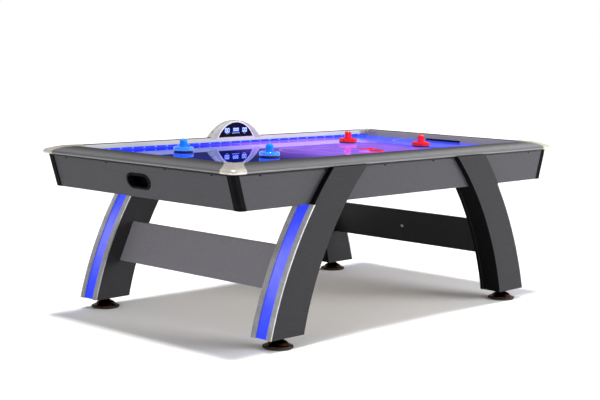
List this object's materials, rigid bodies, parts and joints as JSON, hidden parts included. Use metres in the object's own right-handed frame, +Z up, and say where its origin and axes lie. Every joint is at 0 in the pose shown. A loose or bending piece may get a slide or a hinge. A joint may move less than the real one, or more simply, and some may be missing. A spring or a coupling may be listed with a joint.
{
  "type": "air hockey table",
  "caption": "Air hockey table with splayed curved legs, slanted end aprons, rounded rails with cast corners, arched scorer, mallets and pucks.",
  "frame": {"origin": "on the floor under the middle of the table", "axes": "+X along the table's length, +Y across it towards the side with the scorer, +Z up"},
  "size_m": [2.298, 1.284, 0.873],
  "materials": {
    "charcoal_laminate": "fine textured charcoal laminate on board",
    "leg_laminate": "fine textured charcoal laminate on board",
    "foot_rubber": "moulded rubber sole",
    "foot_bronze": "dark bronze plating",
    "rail_graphite": "satin graphite metallic foil on board",
    "cap_silver": "satin champagne silver plating",
    "post_black": "black moulded edge strip",
    "trim_aluminium": "brushed, satin",
    "leg_light": "backlit blue diffuser",
    "rail_light": "blue light strip with spaced bright points",
    "field_gloss": "high gloss printed laminate with fine air holes",
    "raw_board": "raw board",
    "moulded_black": "moulded, fine texture",
    "return_black": "black moulded surround",
    "screw_black": "black oxide",
    "cover_steel": "satin",
    "scorer_silver": "satin silver paint",
    "bezel_silver": "satin silver paint",
    "display_black": "smoked window with blue-white digits",
    "circuit_board": "solder mask",
    "button_black": "moulded",
    "grille_black": "powder coat",
    "motor_steel": "zinc plated",
    "impeller_grey": "moulded",
    "mallet_blue": "clear blue moulding",
    "mallet_red": "polished red moulding",
    "felt_dark": "felt",
    "puck_red": "polished red moulding"
  },
  "bodies": {
    "table": {"side_apron_front": "charcoal_laminate", "side_apron_rear": "charcoal_laminate", "end_apron_left": "charcoal_laminate", "end_apron_right": "charcoal_laminate", "end_stretcher_left": "charcoal_laminate", "end_stretcher_right": "charcoal_laminate", "leg_front_left": "leg_laminate", "leg_front_right": "leg_laminate", "leg_rear_left": "leg_laminate", "leg_rear_right": "leg_laminate", "side_rail_front": "rail_graphite", "side_rail_rear": "rail_graphite", "end_rail_left": "rail_graphite", "end_rail_right": "rail_graphite", "corner_caps": "cap_silver", "corner_posts": "post_black", "leg_trim_strips": "trim_aluminium", "leg_light_panels": "leg_light", "rail_light_strips": "rail_light", "playfield": "field_gloss", "plenum_floor": "raw_board", "plenum_ribs": "raw_board", "leg_mount_boards": "raw_board", "goal_box_left": "moulded_black", "goal_box_right": "moulded_black", "blower_housing": "moulded_black", "power_switch_body": "moulded_black", "power_inlet": "moulded_black", "puck_return_left": "return_black", "puck_return_right": "return_black", "rail_screws": "screw_black", "stretcher_caps": "cover_steel", "scorer_housing": "scorer_silver", "scorer_bezel": "bezel_silver", "scorer_lens": "display_black", "scorer_board": "circuit_board", "blower_grille": "grille_black", "blower_motor": "motor_steel"},
    "foot_front_left": {"foot_pad_front_left": "foot_rubber", "foot_leveller_front_left": "foot_bronze"},
    "foot_front_right": {"foot_pad_front_right": "foot_rubber", "foot_leveller_front_right": "foot_bronze"},
    "foot_rear_left": {"foot_pad_rear_left": "foot_rubber", "foot_leveller_rear_left": "foot_bronze"},
    "foot_rear_right": {"foot_pad_rear_right": "foot_rubber", "foot_leveller_rear_right": "foot_bronze"},
    "mallet_blue_1": {"mallet_blue_1": "mallet_blue", "mallet_felt_blue_1": "felt_dark"},
    "mallet_blue_2": {"mallet_blue_2": "mallet_blue", "mallet_felt_blue_2": "felt_dark"},
    "mallet_red_1": {"mallet_red_1": "mallet_red", "mallet_felt_red_1": "felt_dark"},
    "mallet_red_2": {"mallet_red_2": "mallet_red", "mallet_felt_red_2": "felt_dark"},
    "puck_flat": {"puck_flat": "puck_red"},
    "puck_leaning": {"puck_leaning": "puck_red"},
    "blower_impeller": {"blower_impeller": "impeller_grey"},
    "power_rocker": {"power_rocker": "button_black"},
    "scorer_button_mode": {"scorer_button_mode": "button_black"},
    "scorer_button_reset": {"scorer_button_reset": "button_black"}
  },
  "joints": [
    {"name": "foot_front_left_height", "type": "slide", "parent": "table", "child": "foot_front_left", "axis": [0, 0, -1], "range_m": [0, 0.02]},
    {"name": "foot_front_right_height", "type": "slide", "parent": "table", "child": "foot_front_right", "axis": [0, 0, -1], "range_m": [0, 0.02]},
    {"name": "foot_rear_left_height", "type": "slide", "parent": "table", "child": "foot_rear_left", "axis": [0, 0, -1], "range_m": [0, 0.02]},
    {"name": "foot_rear_right_height", "type": "slide", "parent": "table", "child": "foot_rear_right", "axis": [0, 0, -1], "range_m": [0, 0.02]},
    {"name": "mallet_blue_1_slide", "type": "slide", "parent": "table", "child": "mallet_blue_1", "axis": [1, 0, 0], "range_m": [-0.42, 0.48]},
    {"name": "mallet_blue_2_slide", "type": "slide", "parent": "table", "child": "mallet_blue_2", "axis": [1, 0, 0], "range_m": [-0.55, 0.33]},
    {"name": "mallet_red_1_slide", "type": "slide", "parent": "table", "child": "mallet_red_1", "axis": [1, 0, 0], "range_m": [-0.42, 0.46]},
    {"name": "mallet_red_2_slide", "type": "slide", "parent": "table", "child": "mallet_red_2", "axis": [1, 0, 0], "range_m": [-0.27, 0.32]},
    {"name": "puck_flat_slide", "type": "slide", "parent": "table", "child": "puck_flat", "axis": [0, -1, 0], "range_m": [0, 0.25]},
    {"name": "puck_leaning_lift", "type": "slide", "parent": "table", "child": "puck_leaning", "axis": [0, 0, 1], "range_m": [0, 0.06]},
    {"name": "blower_spin", "type": "hinge", "parent": "table", "child": "blower_impeller", "pos_m": [0, 0, 0.658], "axis": [0, 0, 1], "continuous": true},
    {"name": "power_rocker_tilt", "type": "hinge", "parent": "table", "child": "power_rocker", "pos_m": [-0.25, 0.602, 0.65], "axis": [1, 0, 0], "range_deg": [-20, 0]},
    {"name": "scorer_button_mode_press", "type": "slide", "parent": "table", "child": "scorer_button_mode", "axis": [0, -1, 0], "range_m": [0, 0.002], "stiffness_N_per_m": 300},
    {"name": "scorer_button_reset_press", "type": "slide", "parent": "table", "child": "scorer_button_reset", "axis": [0, -1, 0], "range_m": [0, 0.002], "stiffness_N_per_m": 300}
  ]
}
